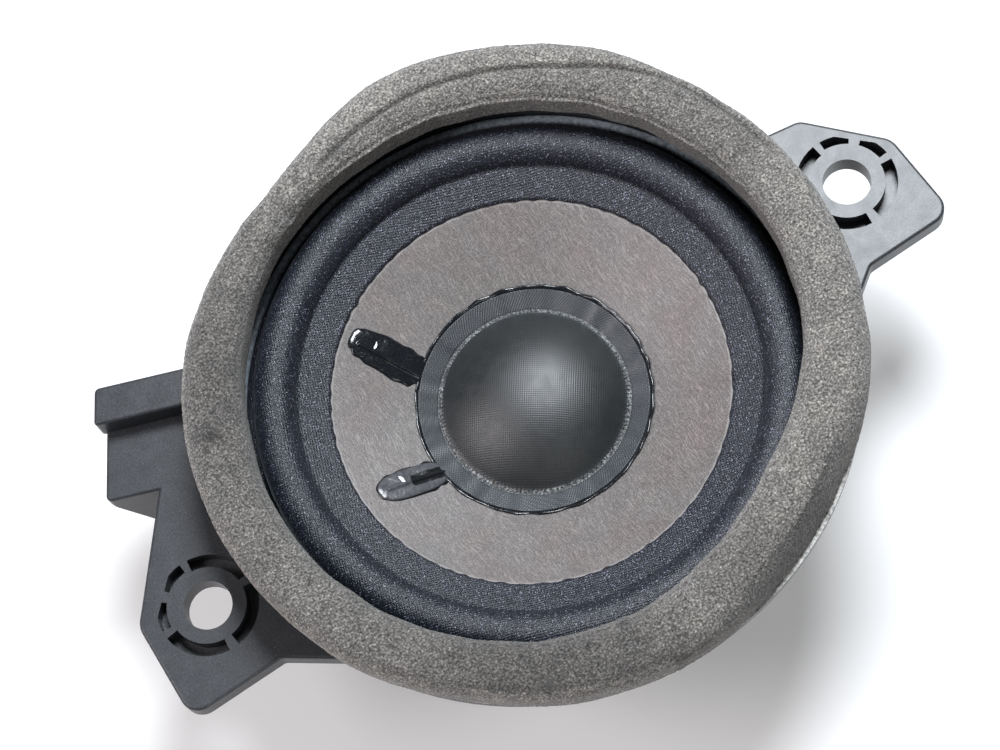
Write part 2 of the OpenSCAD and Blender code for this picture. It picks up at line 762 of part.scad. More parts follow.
basket();
foam_gasket();
foam_adhesive();
clamp_ring();
surround();
cone();
dust_cap();
dust_cap_glue();
lead_glue_upper();
lead_glue_lower();
coil_lead_upper();
coil_lead_lower();
lead_joint_upper();
lead_joint_lower();
coil_former();
voice_coil();
former_wrap();
neck_glue();
spider();
spider_glue();
tinsel_lead_upper();
tinsel_lead_lower();
terminal_pin_upper();
terminal_pin_lower();
solder_joint_upper();
solder_joint_lower();
top_plate();
magnet_glue_front();
magnet();
magnet_glue_back();
yoke();
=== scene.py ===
# %% [markdown]
# # A small car loudspeaker
#
# A moulded basket carries a paper cone on a cloth surround, a soft domed dust cap,
# a ring magnet behind, and a strip of open-cell foam that seals the front to a grille.
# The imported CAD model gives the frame, the sizes and the motion. This script gives the
# looks, piece by piece: first the light and the camera, then the foam, the cloths, the
# paper, the glue, the moulded plastic and at last the motor at the back.

# %% Load the frame
import json
import math
import bmesh
import bpy
import numpy as np
from mathutils import Matrix, Vector


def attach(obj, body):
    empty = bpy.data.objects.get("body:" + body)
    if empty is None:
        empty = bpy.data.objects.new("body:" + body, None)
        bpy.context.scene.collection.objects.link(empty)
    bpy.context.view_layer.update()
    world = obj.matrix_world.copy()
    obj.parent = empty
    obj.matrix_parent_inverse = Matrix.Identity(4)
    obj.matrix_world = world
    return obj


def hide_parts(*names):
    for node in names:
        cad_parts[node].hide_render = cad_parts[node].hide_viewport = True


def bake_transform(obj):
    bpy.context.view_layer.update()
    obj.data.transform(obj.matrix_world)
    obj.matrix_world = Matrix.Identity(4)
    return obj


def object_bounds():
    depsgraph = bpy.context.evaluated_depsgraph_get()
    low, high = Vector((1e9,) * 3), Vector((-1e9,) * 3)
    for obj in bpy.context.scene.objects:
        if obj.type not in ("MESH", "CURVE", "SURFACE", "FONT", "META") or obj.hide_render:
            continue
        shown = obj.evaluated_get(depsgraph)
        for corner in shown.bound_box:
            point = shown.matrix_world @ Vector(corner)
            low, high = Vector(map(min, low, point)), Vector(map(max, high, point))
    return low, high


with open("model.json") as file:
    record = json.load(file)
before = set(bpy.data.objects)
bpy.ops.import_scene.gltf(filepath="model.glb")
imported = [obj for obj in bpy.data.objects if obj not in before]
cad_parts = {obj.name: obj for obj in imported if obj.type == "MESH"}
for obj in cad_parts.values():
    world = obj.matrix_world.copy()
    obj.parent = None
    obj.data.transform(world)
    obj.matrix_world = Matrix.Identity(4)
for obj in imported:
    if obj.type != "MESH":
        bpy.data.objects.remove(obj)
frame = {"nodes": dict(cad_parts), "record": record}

MM = 0.001
nodes = frame["nodes"]
scene = bpy.context.scene
cad_low, cad_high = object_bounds()

# %% [markdown]
# ## Sizes from the frame
#
# Nearly every piece is a turned shape about Z. So what a new piece has to know of its
# CAD node is the span of radii and heights, which this cell reads from the node's own
# vertices. Nothing is measured twice: if the CAD changes, the pieces follow it.

# %% Spans of the CAD nodes, in millimetres


def points(node):
    mesh = nodes[node].data
    flat = np.empty(len(mesh.vertices) * 3, np.float32)
    mesh.vertices.foreach_get("co", flat)
    return flat.reshape(-1, 3).astype(float) / MM


def span(node):
    """Smallest and largest radius, lowest and highest point of a node."""
    p = points(node)
    r = np.hypot(p[:, 0], p[:, 1])
    return r.min(), r.max(), p[:, 2].min(), p[:, 2].max()


def top_at(node, radius, reach=0.15):
    """Highest point of a node near one radius."""
    p = points(node)
    near = np.abs(np.hypot(p[:, 0], p[:, 1]) - radius) < reach
    return p[near, 2].max()


foam_in, foam_out, foam_low, foam_high = span("foam_gasket")
lap_in, frame_in, _, roll_top = span("surround")
neck_r, cone_r, _, cone_high = span("cone")
cap_r, cap_top = span("dust_cap")[1], span("dust_cap")[3]
neck_z = top_at("cone", neck_r)
cone_slope = (cone_high - neck_z) / (cone_r - neck_r)
print("foam", foam_in, foam_out, "cone", neck_r, cone_r, "slope", round(cone_slope, 3))


def cone_top(r):
    """Height of the cone's front face at radius r."""
    return neck_z + (r - neck_r) * cone_slope


# %% [markdown]
# ## Camera
#
# The camera looks down at about seventy degrees, turned a little to the left and rolled,
# so that the two ears run from the lower left to the upper right. It is placed by what
# it looks at: an aim point, two angles, a distance and a roll.

# %% Camera
camera_aim = Vector((-2.30, 3.93, 1.15)) * MM
camera_away = 348.2 * MM
azimuth, elevation, roll = (math.radians(a) for a in (-14.02, 70.49, -20.23))
back = Vector((math.sin(azimuth) * math.cos(elevation),
               -math.cos(azimuth) * math.cos(elevation), math.sin(elevation)))
right = Vector((math.cos(azimuth), math.sin(azimuth), 0))
up = back.cross(right)
x_axis = right * math.cos(roll) + up * math.sin(roll)
y_axis = up * math.cos(roll) - right * math.sin(roll)
camera_data = bpy.data.cameras.new("camera")
camera_data.lens = 93.6
camera_data.clip_start, camera_data.clip_end = 0.01, 10
camera = bpy.data.objects.new("camera", camera_data)
scene.collection.objects.link(camera)
camera.location = camera_aim + back * camera_away
camera.rotation_euler = Matrix((x_axis, y_axis, back)).transposed().to_euler()
scene.camera = camera
print("camera at", [round(v / MM, 1) for v in camera.location])

# %% [markdown]
# ## Floor and light
#
# A small shiny object on white paper is lit by large soft lights. Three discs do it here:
# the key stands high on the right and gives the dome its one broad highlight, a second
# disc on the left wakes the far side of the cone and the cloth, and a weak low one in
# front draws the edges of the moulding. The world itself is a plain white, which fills
# the shadows and leaves only a soft grey one.

# %% Floor, world and three soft lights
floor_half = 3.0
floor_mesh = bpy.data.meshes.new("floor")
corners = [(-1, -1), (1, -1), (1, 1), (-1, 1)]
floor_mesh.from_pydata([(x * floor_half, y * floor_half, cad_low.z) for x, y in corners],
                       [], [(0, 1, 2, 3)])
floor = bpy.data.objects.new("floor", floor_mesh)
scene.collection.objects.link(floor)
paper_white = bpy.data.materials.new("floor_paper")
paper_white.use_nodes = True
floor_shader = paper_white.node_tree.nodes["Principled BSDF"]
for label, value in (("Base Color", (0.82, 0.82, 0.82, 1)), ("Roughness", 0.9),
                     ("Emission Color", (1, 1, 1, 1)), ("Emission Strength", 0.2)):
    floor_shader.inputs[label].default_value = value
floor_mesh.materials.append(paper_white)
world = bpy.data.worlds.new("studio")
scene.world = world
world.use_nodes = True
sky = world.node_tree.nodes["Background"]
sky.inputs["Color"].default_value = (1, 1, 1, 1)
sky.inputs["Strength"].default_value = 0.12
scene.view_settings.view_transform = "Standard"


def soft_light(name, place, size, power, colour=(1, 1, 1)):
    data = bpy.data.lights.new(name, "AREA")
    data.shape, data.size, data.energy, data.color = "DISK", size * MM, power, colour
    lamp = bpy.data.objects.new(name, data)
    scene.collection.objects.link(lamp)
    lamp.location = Vector(place) * MM
    lamp.rotation_euler = (-lamp.location).to_track_quat("-Z", "Y").to_euler()
    print(name, "light,", power, "W")


soft_light("key", (166, 153, 462), 200, 3.7, (0.90, 0.95, 1.0))
soft_light("left", (-345, 95, 360), 220, 1.2, (1.0, 0.93, 0.96))
soft_light("front", (-40, -380, 260), 200, 0.25)

# %% [markdown]
# ## Skins
#
# A turned piece is a grid of points: around the axis one way, along the section the
# other. Spun that way in numpy, each point can still be moved on its own, which a Screw
# or Spin tool doesn't allow: the foam gets its folds and the glue its uneven edge. The
# same helper closes poles, turns faces outwards and gives the piece its name.

# %% Helpers for turned skins


def skin(name, grid):
    """A closed smooth mesh through grid[around][along], joined up both ways."""
    n, m = grid.shape[:2]
    i, j = np.arange(n)[:, None], np.arange(m)[None, :]
    i2, j2 = (i + 1) % n, (j + 1) % m
    quads = np.stack([i * m + j, i2 * m + j, i2 * m + j2, i * m + j2], -1).reshape(-1, 4)
    mesh = bpy.data.meshes.new(name)
    mesh.from_pydata((grid.reshape(-1, 3) * MM).tolist(), [], quads.tolist())
    close_up(mesh)
    piece = bpy.data.objects.new(name, mesh)
    scene.collection.objects.link(piece)
    print(name, len(mesh.polygons), "faces")
    return piece


def close_up(mesh):
    """Join the points that meet at a pole, and turn the faces outwards."""
    work = bmesh.new()
    work.from_mesh(mesh)
    bmesh.ops.remove_doubles(work, verts=work.verts, dist=1e-7)
    if work.calc_volume(signed=True) < 0:
        bmesh.ops.reverse_faces(work, faces=work.faces)
    for face in work.faces:
        face.smooth = True
    work.to_mesh(mesh)
    work.free()


def spin(section, count):
    """A section of (radius, height) pairs turned about Z, and its angles in degrees."""
    angles = np.arange(count) * 360 / count
    a = np.radians(angles)[:, None]
    r, z = np.asarray(section, float).T
    return np.stack([r * np.cos(a), r * np.sin(a), z + 0 * a], -1), angles


def mark(piece, name, values):
    """Store one number a point, for the finish to read."""
    data = piece.data.attributes.new(name, "FLOAT", "POINT").data
    data.foreach_set("value", np.asarray(values, np.float32).ravel())


def radii(piece):
    co = np.empty(len(piece.data.vertices) * 3, np.float32)
    piece.data.vertices.foreach_get("co", co)
    co = co.reshape(-1, 3) / MM
    return np.hypot(co[:, 0], co[:, 1]), co


def wobble(angles, seed, low, high):
    """Smooth random waves round a circle, with low to high waves a turn."""
    rng = np.random.default_rng(seed)
    total = 0 * np.asarray(angles, float)
    for k in range(low, high + 1):
        total = total + rng.normal() * np.cos(k * np.radians(angles) + rng.uniform(0, 6.28))
    return total / math.sqrt((high - low + 1) / 2)


def round_about(angles, knots, ease=5):
    """Values picked at some angles, joined smoothly round the circle."""
    at, value = zip(*knots)
    turns = np.arange(720) / 2
    raw = np.interp(turns, at, value, period=360)
    width = np.exp(-(np.arange(-60, 61) / 2 / ease) ** 2)
    smooth = np.convolve(np.concatenate([raw[-60:], raw, raw[:60]]), width / width.sum(), "valid")
    return np.interp(angles, turns, smooth, period=360)


def swirl(x, y, seed, size, waves=9):
    """Smooth random lumps over a plane, about size across."""
    rng = np.random.default_rng(seed)
    total = 0 * x
    for _ in range(waves):
        turn, phase = rng.uniform(0, 6.28, 2)
        k = 2 * np.pi / (size * rng.uniform(0.7, 1.6))
        total = total + np.cos(k * (x * np.cos(turn) + y * np.sin(turn)) + phase)
    return total / math.sqrt(waves / 2)


def bell(x, middle, width):
    return np.exp(-((x - middle) / width) ** 2)


# %% [markdown]
# ## Finishes
#
# Each finish is a small node material laid out in object coordinates, in millimetres,
# so that a weave or a grain has its real size whichever piece wears it. The class only
# saves typing: it makes a node, sets its inputs and hands back its outputs. What is
# the same all over the surface is set straight on the shader.

# %% A small class for finishes


class Finish:
    def __init__(self, name, **values):
        self.material = bpy.data.materials.new(name)
        self.material.use_nodes = True
        self.tree = self.material.node_tree
        self.shader = self.tree.nodes["Principled BSDF"]
        self.at = self.node("ShaderNodeTexCoord").outputs["Object"]
        self.set(**values)

    def set(self, **values):
        for label, value in values.items():
            self.put(self.shader.inputs[label.replace("_", " ")], value)

    def put(self, socket, value):
        if isinstance(value, bpy.types.NodeSocket):
            self.tree.links.new(value, socket)
        else:
            socket.default_value = value

    def node(self, kind, inputs=None, **settings):
        made = self.tree.nodes.new(kind)
        for label, value in settings.items():
            setattr(made, label, value)
        for key, value in (inputs or {}).items():
            self.put(made.inputs[key], value)
        return made

    def stretched(self, scale, turn=0.0, at=None):
        """Object coordinates turned about Z and stretched."""
        return self.node("ShaderNodeMapping", {"Vector": at or self.at, "Scale": scale,
                         "Rotation": (0, 0, math.radians(turn))}).outputs[0]

    def noise(self, size, detail=2.0, rough=0.5, at=None):
        """Cloudy noise with lumps of that size in millimetres, from 0 to 1."""
        return self.node("ShaderNodeTexNoise", {
            "Vector": at or self.at, "Scale": 1 / (size * MM), "Detail": detail,
            "Roughness": rough}).outputs["Fac"]

    def cells(self, size, feature):
        """Distance to the nearest of many scattered points, size millimetres apart."""
        return self.node("ShaderNodeTexVoronoi", {
            "Vector": self.at, "Scale": 1 / (size * MM)}, feature=feature).outputs["Distance"]

    def math(self, how, a, b=0.0, c=0.0):
        return self.node("ShaderNodeMath", {0: a, 1: b, 2: c}, operation=how).outputs[0]

    def band(self, value, low, high, out_low=0.0, out_high=1.0):
        """A value taken from one range to another, and held at its ends."""
        return self.node("ShaderNodeMapRange", {
            "Value": value, "From Min": low, "From Max": high, "To Min": out_low,
            "To Max": out_high}).outputs["Result"]

    def ramp(self, value, *stops):
        made = self.node("ShaderNodeValToRGB", {"Fac": value})
        stop_list = made.color_ramp.elements
        while len(stop_list) < len(stops):
            stop_list.new(0.5)
        for stop, (where, colour) in zip(stop_list, stops):
            stop.position, stop.color = where, (*colour, 1)
        return made.outputs["Color"]

    def mix(self, share, a, b, how="MIX"):
        made = self.node("ShaderNodeMix", data_type="RGBA", blend_type=how)
        for socket, value in zip([s for s in made.inputs if s.enabled], (share, a, b)):
            value = (*value, 1) if isinstance(value, tuple) and len(value) == 3 else value
            self.put(socket, value)
        return [s for s in made.outputs if s.enabled][0]

    def bump(self, height, depth, strength=1.0):
        """Relief whose full height is depth millimetres."""
        return self.node("ShaderNodeBump", {
            "Height": height, "Distance": depth * MM, "Strength": strength}).outputs[0]

    def from_axis(self):
        """Distance from the speaker's axis in millimetres."""
        xyz = self.node("ShaderNodeSeparateXYZ", {"Vector": self.at}).outputs
        x2, y2 = self.math("MULTIPLY", xyz[0], xyz[0]), self.math("MULTIPLY", xyz[1], xyz[1])
        return self.math("MULTIPLY", self.math("SQRT", self.math("ADD", x2, y2)), 1 / MM)

    def attribute(self, name):
        return self.node("ShaderNodeAttribute", attribute_name=name).outputs["Fac"]

    def weave(self, pitch, turn=0.0):
        """Over-and-under threads of that pitch, as a height from 0 to 1."""
        scale = (math.tau / (2 * pitch * MM),) * 3
        flat = self.node("ShaderNodeSeparateXYZ", {"Vector": self.stretched(scale, turn)}).outputs
        across, along = self.math("SINE", flat[0]), self.math("SINE", flat[1])
        return self.math("ABSOLUTE", self.math("MULTIPLY", across, along))


def wear(piece, finish):
    """Give a new piece its finish."""
    piece.data.materials.clear()
    piece.data.materials.append(finish.material)


# %% [markdown]
# ## Geometry Nodes trees
#
# Three things here follow a rule better told to nodes than to a loop: the foam's open
# cells, the turns of the coil and the twisted strands of the flexible leads.

# %% Helpers for Geometry Nodes


class Rule:
    def __init__(self, name, **inputs):
        self.tree = bpy.data.node_groups.new(name, "GeometryNodeTree")
        face = self.tree.interface
        face.new_socket("Geometry", in_out="INPUT", socket_type="NodeSocketGeometry")
        face.new_socket("Geometry", in_out="OUTPUT", socket_type="NodeSocketGeometry")
        self.sockets = {}
        for label, value in inputs.items():
            kind = "NodeSocketInt" if isinstance(value, int) else "NodeSocketFloat"
            self.sockets[label] = face.new_socket(label, in_out="INPUT", socket_type=kind)
        self.values = {k: v if isinstance(v, int) else float(v) for k, v in inputs.items()}
        self.start = self.tree.nodes.new("NodeGroupInput")
        self.end = self.tree.nodes.new("NodeGroupOutput")

    def given(self, label):
        return self.start.outputs[label]

    def node(self, kind, inputs=None, **settings):
        made = self.tree.nodes.new(kind)
        for label, value in settings.items():
            setattr(made, label, value)
        for key, value in (inputs or {}).items():
            if isinstance(value, bpy.types.NodeSocket):
                self.tree.links.new(value, made.inputs[key])
            else:
                made.inputs[key].default_value = value
        return made

    def apply(self, piece, geometry, finish):
        """End the tree with the finish, run it on the piece and keep the plain mesh."""
        real = self.node("GeometryNodeRealizeInstances", {"Geometry": geometry})
        clad = self.node("GeometryNodeSetMaterial", {
            "Geometry": real.outputs[0], "Material": finish.material})
        self.tree.links.new(clad.outputs[0], self.end.inputs["Geometry"])
        modifier = piece.modifiers.new(self.tree.name, "NODES")
        modifier.node_group = self.tree
        for label, socket in self.sockets.items():
            modifier[socket.identifier] = self.values[label]
        deps = bpy.context.evaluated_depsgraph_get()
        mesh = bpy.data.meshes.new_from_object(piece.evaluated_get(deps))
        piece.modifiers.clear()
        piece.data = mesh
        print(piece.name, "after", self.tree.name, len(mesh.polygons), "faces")


# %% [markdown]
# ## The foam gasket
#
# A strip of open-cell foam is cut, bent round the rim and pressed onto glue. It is soft,
# so it never lies as a perfect ring: it leans in where it was pressed, has a crease
# along one quarter and a fold across it at the butt of the strip. The skin is turned with
# a radius and a height that change round the circle, by values picked at a few angles.

# %% Foam strip: outline, crease and folds
around = 1300
outer_line = [(5, 44.2), (20, 44.0), (32, 44.1), (44, 44.75), (62, 44.7), (75, 44.9),
              (84, 44.8), (91, 43.8), (97, 42.95), (103, 42.2), (109, 41.8), (115, 42.4),
              (121, 43.1), (134, 43.5), (141, 44.25), (155, 44.7), (180, 44.6), (210, 44.6),
              (221, 44.2), (232, 44.1), (240, 44.6), (270, 44.6), (278, 43.9), (285, 43.6),
              (305, 43.6), (314, 44.3), (324, 44.8), (330, 44.5), (345, 44.5)]
inner_line = [(0, 37.1), (60, 37.0), (90, 36.8), (112, 37.2), (125, 37.3), (150, 37.0),
              (200, 37.3), (240, 37.2), (262, 36.7), (278, 35.6), (300, 35.0), (318, 35.9),
              (335, 36.9)]
crease_line = [(4, 42.9), (30, 43.0), (49, 40.9), (76, 40.4), (92, 39.3), (112, 37.6)]
drop_line = [(0, 0), (110, 0.1), (122, 0.75), (135, 0.15), (160, 0), (262, 0.1),
             (270, -0.15), (280, 0.5), (300, 0.7), (318, 0.3), (335, 0)]

# Where the strip was pressed inwards at its top, and at the butt: how far, where, how wide
pressed, butted = (2.6, 296, 17), (0.6, 121, 7)
crease_depth, crease_wide, crease_step = 0.5, 0.4, 0.45

angles = np.arange(around) * 360 / around
outer, inner = round_about(angles, outer_line, 3), round_about(angles, inner_line)
outer = outer + 0.035 * wobble(angles, 3, 8, 40)
inner = inner + 0.06 * wobble(angles, 4, 8, 36)
crease = np.interp(angles, *zip(*crease_line))
creased = np.clip(np.minimum((angles - 3) / 6, (106 - angles) / 8), 0, 1)
drop = round_about(angles, drop_line, 2.5) + 0.06 * wobble(angles, 5, 4, 24)

# The section, as shares of the width and height: bottom, outer side, top, inner side
corner = np.radians(np.linspace(0, 90, 12))
wall, flat = np.linspace(0.06, 0.64, 16)[1:-1], np.linspace(0.30, 0.76, 30)[1:-1]
bottom = [(x, 0) for x in np.linspace(0.06, 0.96, 6)]
outside = [(1, y) for y in wall]
shoulder = [(0.76 + 0.24 * math.cos(c), 0.64 + 0.36 * math.sin(c)) for c in corner]
top = [(x, 1) for x in flat[::-1]]
inside = [(0.30 - 0.30 * math.sin(c), 0.62 + 0.38 * math.cos(c)) for c in corner]
share = np.array(bottom + outside + shoulder + top + inside + [(0, y) for y in wall[::-1]])
u, v = share.T
width, tall = (outer - inner)[:, None], foam_high - foam_low
lean = sum(far * bell(angles, middle, wide) for far, middle, wide in (pressed, butted))[:, None]
bulge = 0.25 * np.sin(np.pi * v) * np.sign(u - 0.5) * ((u < 0.02) | (u > 0.98))
radius = inner[:, None] + width * u + bulge - lean * v ** 1.2 * (0.15 + 0.85 * u * u)
height = foam_low + tall * v - drop[:, None] * v ** 2
height -= 0.35 * (v > 0.9) * (1 - bell(u, 0.55, 0.42))
groove = creased[:, None] * (v > 0.7)
height -= groove * (crease_depth * bell(radius, crease[:, None], crease_wide)
                    + crease_step / (1 + np.exp((radius - crease[:, None]) / 0.25)))
fold = bell(angles, 270, 1.5)[:, None] + 0.8 * bell(angles, 118, 1.6)[:, None]
height += 0.45 * fold * (v > 0.7)
height -= 0.5 * bell(angles, 112.5, 1.2)[:, None] * (v > 0.7)
lumps = 0.05 * wobble(angles, 6, 20, 70)[:, None] * np.cos(7 * u + 0.05 * angles[:, None])
height += lumps * v
a = np.radians(angles)[:, None]
foam = skin("gasket_foam_strip", np.stack(
    [radius * np.cos(a), radius * np.sin(a), height], -1))

# %% [markdown]
# How light or dark the foam's skin looks is painted light and shade: a lightness given
# at each angle round the ring, a painted highlight on the rounded outer edge, and painted
# shade in the crease, under the pressed-in top and at one fold. That is stored on the
# points as a number from 0 to 1 and read by the finish.

# %% Painted light and shade on the foam's skin, round the ring
# Painted light and shade: how light the skin looks at each angle round the ring
painted_shading_line = [(12, 0.90), (57, 1.08), (95, 1.0), (120, 0.70), (147, 0.42), (192, 0.68),
            (215, 0.60), (237, 0.36), (262, 0.46), (270, 0.85), (278, 0.55), (300, 0.85),
            (318, 0.85), (345, 0.90)]
r, co = radii(foam)
turn = np.degrees(np.arctan2(co[:, 1], co[:, 0])) % 360
painted_shading = round_about(turn, painted_shading_line, 4)
here = np.interp(turn, *zip(*crease_line))
on_crease = np.clip(np.minimum((turn - 3) / 6, (106 - turn) / 8), 0, 1)
# Painted shade along the crease: darker inside it, darkest in its groove
painted_shading *= 1 - 0.25 * on_crease / (1 + np.exp((r - here) / 0.3))
painted_shading *= 1 - 0.6 * on_crease * bell(r, here, 0.3)
outline = round_about(turn, outer_line, 3)
# Painted highlight on the rounded outer edge, from 100 to 262 degrees
painted_shading = np.maximum(painted_shading, 1.15 * bell(r, outline + 0.1, 0.8) * (turn > 100) * (turn < 262))
# Painted shade under the pressed-in top, and at a fold near 160 degrees
shade_under_press = (r > outline - 2.2) * (co[:, 2] < foam_high - 0.9)
painted_shading *= 1 - 0.62 * bell(turn, pressed[1], 15) * shade_under_press
painted_shading *= 1 - 0.65 * bell(turn, 160, 1.8) * bell(r, 41, 1.6)
mark(foam, "painted_shading", np.clip(painted_shading, 0.1, 1.15))
print("nap from", round(float(painted_shading.min()), 2), "to", round(float(painted_shading.max()), 2))

# %% Foam finish and cells
foam_finish = Finish("gasket_foam", Roughness=1.0, Specular_IOR_Level=0.15,
                     Sheen_Weight=0.25, Sheen_Roughness=0.6)
pores = foam_finish.noise(0.27, 3.0, 0.60)
fibres = foam_finish.cells(0.30, "SMOOTH_F1")
relief = foam_finish.math("SUBTRACT", pores, foam_finish.math("MULTIPLY", fibres, 0.35))
# Near black at the low end of the relief: painted shade in the open cells' hollows, over the strands'
# own lighter tan
tone = foam_finish.band(relief, 0.05, 0.66)
colour = foam_finish.ramp(tone, (0.0, (0.02, 0.02, 0.02)), (0.42, (0.17, 0.165, 0.155)),
                          (0.70, (0.40, 0.38, 0.36)), (1.0, (0.85, 0.82, 0.78)))
patches = foam_finish.ramp(foam_finish.noise(2.6, 2.0), (0.35, (0.78, 0.78, 0.79)),
                           (0.65, (1.0, 0.99, 0.98)))
colour = foam_finish.mix(1.0, colour, patches, "MULTIPLY")
# The foam's colour is multiplied by the stored painted light and shade
painted_shading_tone = foam_finish.ramp(foam_finish.attribute("painted_shading"), (0.0, (0.04, 0.04, 0.045)),
                            (1.0, (1.0, 0.99, 0.97)))
foam_finish.set(Base_Color=foam_finish.mix(1.0, colour, painted_shading_tone, "MULTIPLY"),
                Normal=foam_finish.bump(relief, 0.35, 0.9))

cells = Rule("foam_cells", cell_size=0.42 * MM, depth=0.30 * MM, seed=7.0)
where = cells.node("GeometryNodeInputPosition").outputs[0]
spots = cells.node("ShaderNodeTexNoise", {
    "Vector": where, "W": cells.given("seed"), "Detail": 2.0, "Roughness": 0.6,
    "Scale": cells.node("ShaderNodeMath", {0: 1.0, 1: cells.given("cell_size")},
                        operation="DIVIDE").outputs[0]}, noise_dimensions="4D").outputs["Fac"]
signed = cells.node("ShaderNodeMath", {0: spots, 1: 0.5}, operation="SUBTRACT").outputs[0]
push = cells.node("ShaderNodeMath", {0: signed, 1: cells.given("depth")},
                  operation="MULTIPLY").outputs[0]
outwards = cells.node("GeometryNodeInputNormal").outputs[0]
shift = cells.node("ShaderNodeVectorMath", {0: outwards}, operation="SCALE")
cells.tree.links.new(push, shift.inputs["Scale"])
moved = cells.node("GeometryNodeSetPosition", {
    "Geometry": cells.given("Geometry"), "Offset": shift.outputs["Vector"]}).outputs[0]
cells.apply(foam, moved, foam_finish)
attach(foam, "basket_body")
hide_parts("foam_gasket")

# %% [markdown]
# ## The surround
#
# The surround is a doped cloth, hot-pressed into one half roll between a flat flange,
# glued to the rim, and a narrow lap glued over the cone's edge. The coil pushes its
# inside up and down while its outside stands still; each point's share between the two
# bodies is worked out by radius, 0 at the flange and 1 at the cone, and only counted.

# %% Surround: one section, turned
cloth_t = top_at("surround", frame_in)
roll_p = points("surround")
roll_mid = float(np.hypot(*roll_p[roll_p[:, 2].argmax(), :2]))
roll_half = roll_mid - cone_r
roll_out = roll_mid + roll_half
print("roll", roll_mid, roll_half, "cloth", cloth_t, "top", roll_top)
cloth_up = cloth_t * math.sqrt(1 + cone_slope ** 2)
foot_z = cone_high + cloth_t
front_lap = [(r, cone_top(r) + cloth_up) for r in np.linspace(lap_in, cone_r - 0.45, 20)]
front_lap[0] = (lap_in, cone_top(lap_in) + 0.35 * cloth_up)
front_lap.insert(1, (lap_in + 0.12, cone_top(lap_in) + 0.95 * cloth_up))
bend = np.radians(np.linspace(180, 0, 44))
front_roll = [(roll_mid + roll_half * math.cos(b), foot_z + roll_half * math.sin(b)) for b in bend]
front_foot = [(roll_out, z) for z in np.linspace(foot_z - 0.3, cloth_t + 0.4, 8)]
front_foot += [(roll_out + 0.4 - 0.4 * math.cos(b), cloth_t + 0.4 - 0.4 * math.sin(b))
               for b in np.radians(np.linspace(20, 90, 5))]
under = roll_half - cloth_t
back_roll = [(roll_mid + under * math.cos(b), foot_z + under * math.sin(b)) for b in bend[::-2]]
section = (front_lap + front_roll + front_foot + [(frame_in, cloth_t), (frame_in, 0.0)]
           + [(roll_out - cloth_t, 0.0)] + back_roll
           + [(cone_r + cloth_t, cone_high), (cone_r, cone_high + 0.01),
              (lap_in, cone_top(lap_in) + 0.01)])
grid, angles = spin(section, 720)
r = np.hypot(grid[..., 0], grid[..., 1])
puckers = 0.05 * wobble(angles, 11, 8, 40)[:, None] * bell(r, roll_mid, 2.0)
grid[..., 2] += puckers
ragged = 0.07 * wobble(angles, 12, 30, 90)[:, None] * (r < lap_in + 0.05)
grid[..., :2] *= (1 + ragged / np.maximum(r, 1))[..., None]
surround = skin("surround_cloth_roll", grid)


def bend_by_radius(piece, still, moving):
    """Bake a piece's placement and count, by distance from the axis, its points nearer the cone than
    the basket.
    """
    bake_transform(piece)
    share = np.clip((still - radii(piece)[0]) / (still - moving), 0, 1)
    share = share * share * (3 - 2 * share)
    print(piece.name, "follows the cone over", int((share > 0.5).sum()), "points")


# %% Doped cloth
doped = Finish("surround_cloth", Roughness=0.36, Specular_IOR_Level=0.6, Sheen_Weight=0.03)
threads = doped.weave(0.33, 20)
dope = doped.noise(0.9, 4.0, 0.6)
# Bright blue-white specks in the cloth's colour: painted glints of the dope's shine
painted_glints = doped.band(doped.noise(0.22, 2.0, 0.7), 0.61, 0.69)
cloth_colour = doped.ramp(dope, (0.30, (0.005, 0.007, 0.012)), (0.70, (0.014, 0.018, 0.029)))
cloth_colour = doped.mix(doped.math("MULTIPLY", painted_glints, 0.7), cloth_colour, (0.52, 0.53, 0.68))
fine_grain = doped.math("MULTIPLY", doped.noise(0.17, 3.0, 0.6), 1.6)
weave_relief = doped.math("MULTIPLY_ADD", threads, 0.6, fine_grain)
doped.set(Base_Color=cloth_colour, Normal=doped.bump(weave_relief, 0.06, 1.0),
          Roughness=doped.band(dope, 0.3, 0.7, 0.28, 0.38))
wear(surround, doped)
bend_by_radius(surround, roll_out, cone_r)
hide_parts("surround")

# %% [markdown]
# ## The clamp ring
#
# A thin plastic ring holds the cloth's flange down. It is bevelled, so that it shows as
# one line, brighter where it faces the key and darker on the far side. Its colour is a
# pale blue-grey, a painted highlight that keeps the line bright in the foam's shadow.

# %% Clamp ring
ring_in, ring_out, ring_low, ring_high = span("clamp_ring")
ring_section = [(ring_out, ring_low), (ring_out, ring_high - 0.25), (ring_out - 0.2, ring_high - 0.04),
                (ring_out - 0.45, ring_high), (ring_in + 0.35, ring_high - 0.03),
                (ring_in + 0.14, ring_high - 0.13), (ring_in + 0.03, ring_high - 0.32),
                (ring_in, ring_high - 0.5), (ring_in, ring_low)]
grid, angles = spin(ring_section, 480)
grid[..., 2] += 0.04 * wobble(angles, 21, 6, 40)[:, None] * (np.arange(9) % 8 > 0)
clamp = skin("clamp_ring_moulding", grid)
# Pale blue-grey colour: a painted highlight along the ring, which lies in the foam's shadow
ring_plastic = Finish("ring_plastic", Roughness=0.4, Specular_IOR_Level=0.6)
ring_mottle = ring_plastic.noise(0.6, 3.0)
ring_plastic.set(
    Base_Color=ring_plastic.ramp(ring_mottle, (0.3, (0.26, 0.32, 0.37)), (0.7, (0.66, 0.76, 0.84))),
    Normal=ring_plastic.bump(ring_mottle, 0.08, 0.7))
wear(clamp, ring_plastic)
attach(clamp, "basket_body")
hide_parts("clamp_ring")

# %% [markdown]
# ## The paper cone
#
# The cone is pressed from wet pulp on a mesh, so its face shows short grey and white
# fibres lying every way, and a fine grain between them. The fibres are noise stretched
# eleven to one in five directions, curled a little, each kept only at its peaks.

